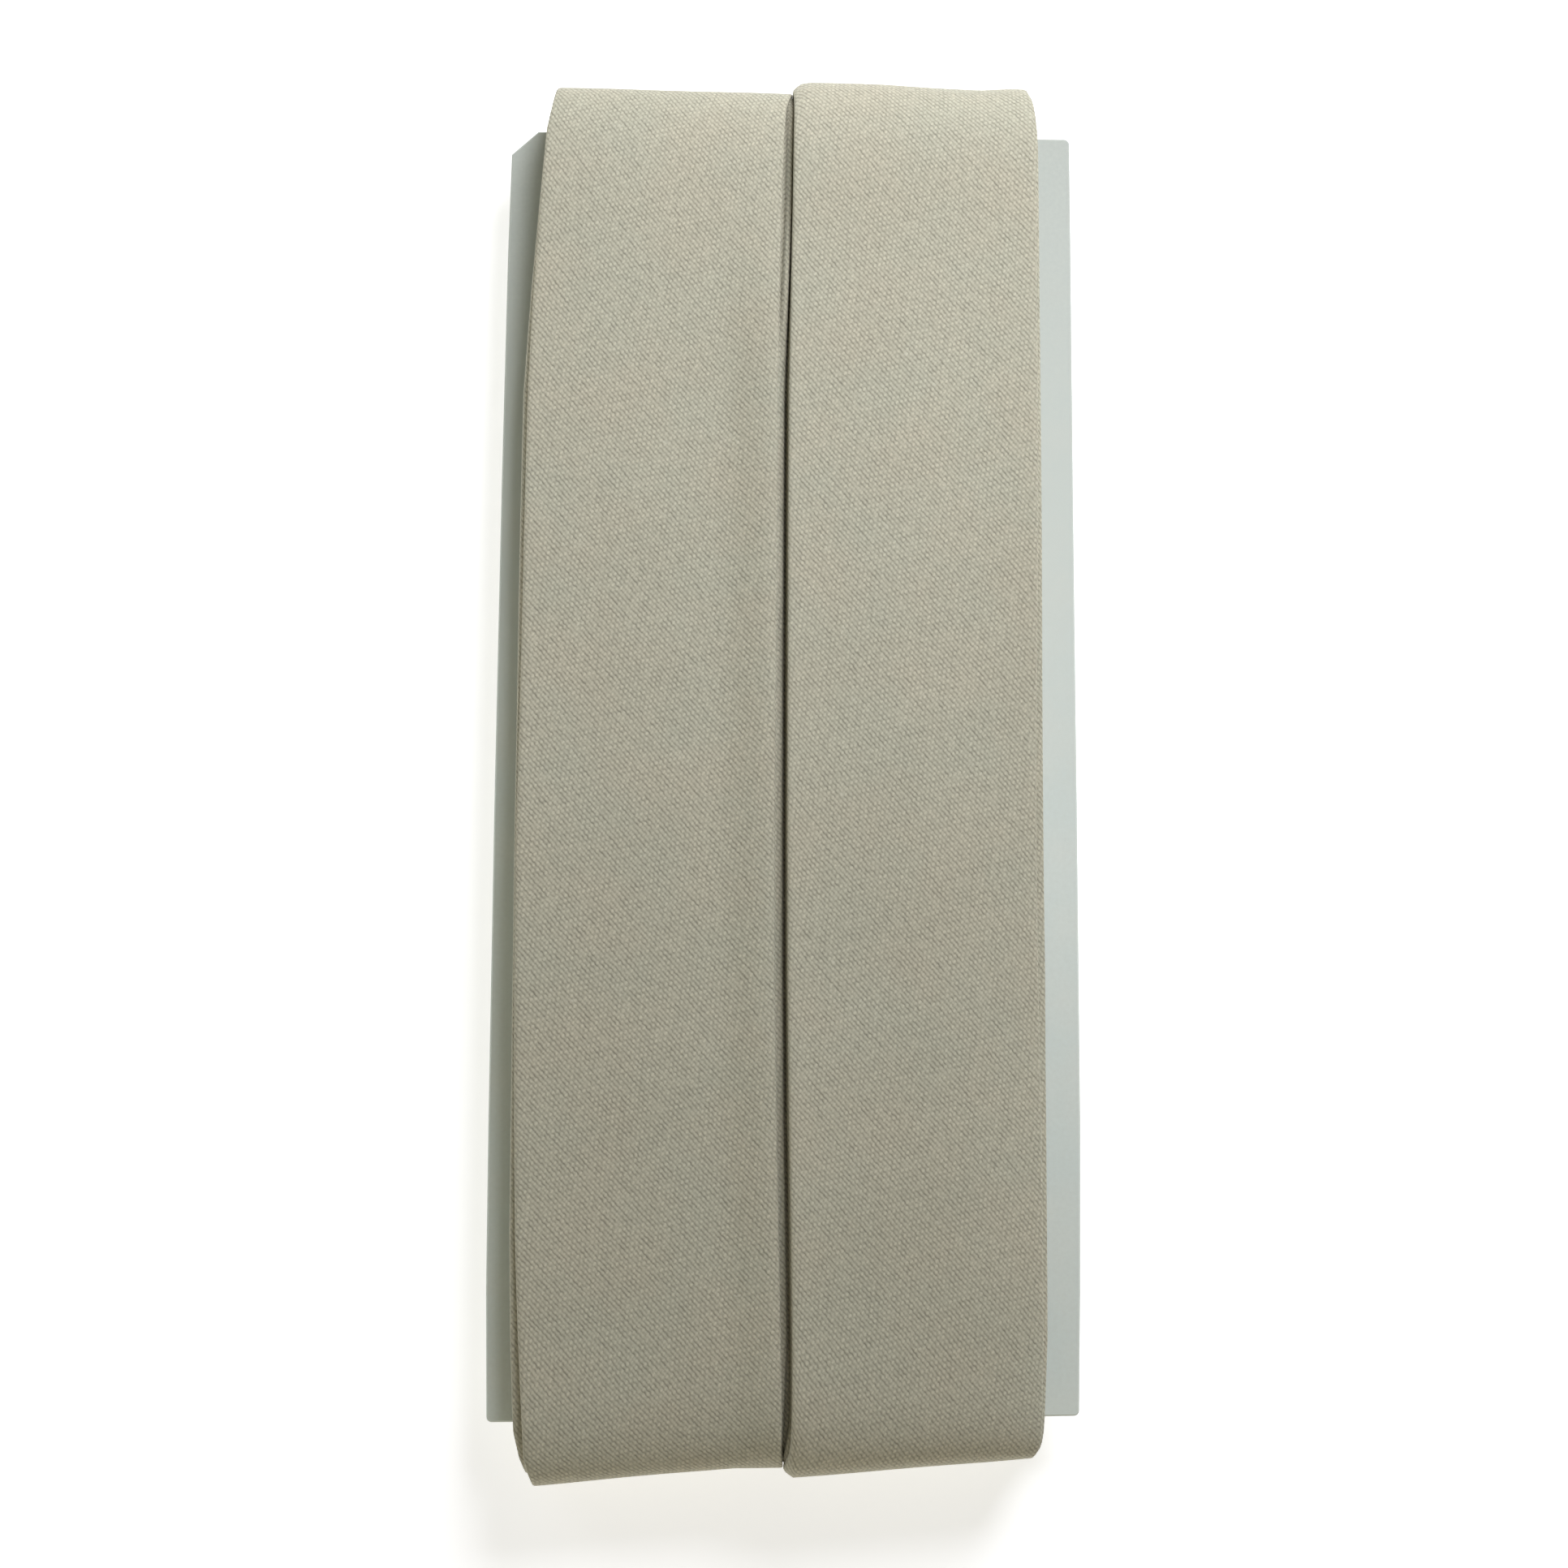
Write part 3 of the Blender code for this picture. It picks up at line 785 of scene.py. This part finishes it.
def build_tape():
    """The one tape in four lengths: hidden turns and outer turn of each lane."""
    left_hidden = []
    for turn in range(LEFT_TURNS - 1):
        left_hidden += left_turn(turn, INNER_DETAIL)
    left_outer = left_turn(LEFT_TURNS - 1, OUTER_DETAIL) + crossing_run(OUTER_DETAIL)
    right_hidden = left_outer[-1:]
    for turn in range(RIGHT_TURNS - 1):
        right_hidden += right_turn(turn, INNER_DETAIL)
    right_outer = right_hidden[-1:] + right_turn(RIGHT_TURNS - 1, OUTER_DETAIL)
    lengths = (
        ("left_lane_hidden_turns", left_hidden, INNER_DETAIL, EVEN_ROWS),
        ("left_lane_outer_turn", left_outer, OUTER_DETAIL, LEFT_ROWS),
        ("right_lane_hidden_turns", right_hidden, INNER_DETAIL, EVEN_ROWS),
        ("right_lane_outer_turn", right_outer, OUTER_DETAIL, RIGHT_ROWS),
    )
    material = tape_material()
    used = 0.0
    for name, stations, detail, rows_for_baking in lengths:
        piece, reached = tape_mesh(name, stations, detail, rows_for_baking, used)
        piece.data.materials.append(material)
        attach(piece, "root")
        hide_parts("binding")
        used = reached
    return used


def dress_card():
    frame_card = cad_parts["card"]
    material = card_material()
    for slot in frame_card.material_slots:
        slot.material = material
    if not frame_card.material_slots:
        frame_card.data.materials.append(material)


# The camera looks almost straight down, tipped a little toward the bottom end and the left
CAMERA_TARGET = Vector((-0.26, CARD_MIDDLE_Y - 2.02, CARD_LEVEL))
CAMERA_DISTANCE = 300.0
CAMERA_TIP_DEGREES = 8.18
CAMERA_TURN_DEGREES = -1.66
CAMERA_ROLL_DEGREES = 0.51
PHOTO_WIDTH = 1932
FOCAL_PIXELS = 4200.0
SENSOR_WIDTH = 36.0

# The stage: a pale floor that reaches this many metres each way
FLOOR_REACH = 3.0
FLOOR_SURFACE = {
    "Base Color": (0.88, 0.88, 0.87, 1.0),
    "Roughness": 0.9,
    "Emission Color": (1.0, 1.0, 1.0, 1.0),
    "Emission Strength": 0.60,
}

# A room whose pale walls fade to a dim ceiling between these heights, as the z of a unit vector
WALL_TOP = 0.16
CEILING_FROM = 0.30
WALL_COLOUR = (0.60, 0.60, 0.58, 1.0)
CEILING_COLOUR = (0.13, 0.1235, 0.091, 1.0)

# Soft lights: name, place, what it points at, width, power in watts, colour
LIGHTS = (
    ("key", (75.0, 135.0, 175.0), (0.0, 10.0, 0.0), 140.0, 0.550, (0.89, 0.91, 1.0)),
    ("low fill", (-20.0, -200.0, 60.0), (0.0, 10.0, 0.0), 160.0, 0.052, (1.0, 0.90, 0.78)),
    ("side fill", (-170.0, 140.0, 85.0), (0.0, 0.0, 0.0), 160.0, 0.110, (0.95, 0.97, 1.0)),
)


def add_camera():
    data = bpy.data.cameras.new("camera")
    data.sensor_width = SENSOR_WIDTH
    data.lens = SENSOR_WIDTH * FOCAL_PIXELS / PHOTO_WIDTH
    data.clip_start = 0.01
    data.clip_end = 10.0
    camera = bpy.data.objects.new("camera", data)
    bpy.context.scene.collection.objects.link(camera)
    camera.matrix_world = (
        Matrix.Translation(CAMERA_TARGET * MM)
        @ Matrix.Rotation(math.radians(CAMERA_TIP_DEGREES), 4, "X")
        @ Matrix.Rotation(math.radians(CAMERA_TURN_DEGREES), 4, "Y")
        @ Matrix.Rotation(math.radians(CAMERA_ROLL_DEGREES), 4, "Z")
        @ Matrix.Translation((0.0, 0.0, CAMERA_DISTANCE * MM))
    )
    bpy.context.scene.camera = camera


def add_area_light(name, place, target, width, power, colour):
    data = bpy.data.lights.new(name, "AREA")
    data.shape = "DISK"
    data.size = width * MM
    data.energy = power
    data.color = colour
    light = bpy.data.objects.new(name, data)
    bpy.context.scene.collection.objects.link(light)
    light.location = Vector(place) * MM
    aim = Vector(target) - Vector(place)
    light.rotation_euler = aim.to_track_quat("-Z", "Y").to_euler()


def add_floor():
    floor_mesh = bpy.data.meshes.new("floor")
    signs = ((-1, -1), (1, -1), (1, 1), (-1, 1))
    corners = [(x * FLOOR_REACH, y * FLOOR_REACH, 0.0) for x, y in signs]
    floor_mesh.from_pydata(corners, [], [(0, 1, 2, 3)])
    floor = bpy.data.objects.new("floor", floor_mesh)
    bpy.context.scene.collection.objects.link(floor)
    shader = Shader("pale floor")
    shader.set_surface(FLOOR_SURFACE)
    floor_mesh.materials.append(shader.material)


def add_world():
    world = bpy.data.worlds.new("soft studio")
    world.use_nodes = True
    tree = world.node_tree
    direction = tree.nodes.new("ShaderNodeTexCoord")
    split = tree.nodes.new("ShaderNodeSeparateXYZ")
    tree.links.new(direction.outputs["Generated"], split.inputs["Vector"])
    rise = tree.nodes.new("ShaderNodeMapRange")
    tree.links.new(split.outputs["Z"], rise.inputs["Value"])
    rise.inputs["From Min"].default_value = WALL_TOP
    rise.inputs["From Max"].default_value = CEILING_FROM
    room = tree.nodes.new("ShaderNodeMix")
    room.data_type = "RGBA"
    tree.links.new(rise.outputs["Result"], room.inputs[0])
    room.inputs[6].default_value = WALL_COLOUR
    room.inputs[7].default_value = CEILING_COLOUR
    tree.links.new(room.outputs[2], tree.nodes["Background"].inputs["Color"])
    bpy.context.scene.world = world


tape_length = build_tape()
print(f"tape length {tape_length:.0f} mm")
dress_card()
add_floor()
add_world()
for light in LIGHTS:
    add_area_light(*light)
add_camera()
bpy.context.scene.view_settings.view_transform = "Standard"
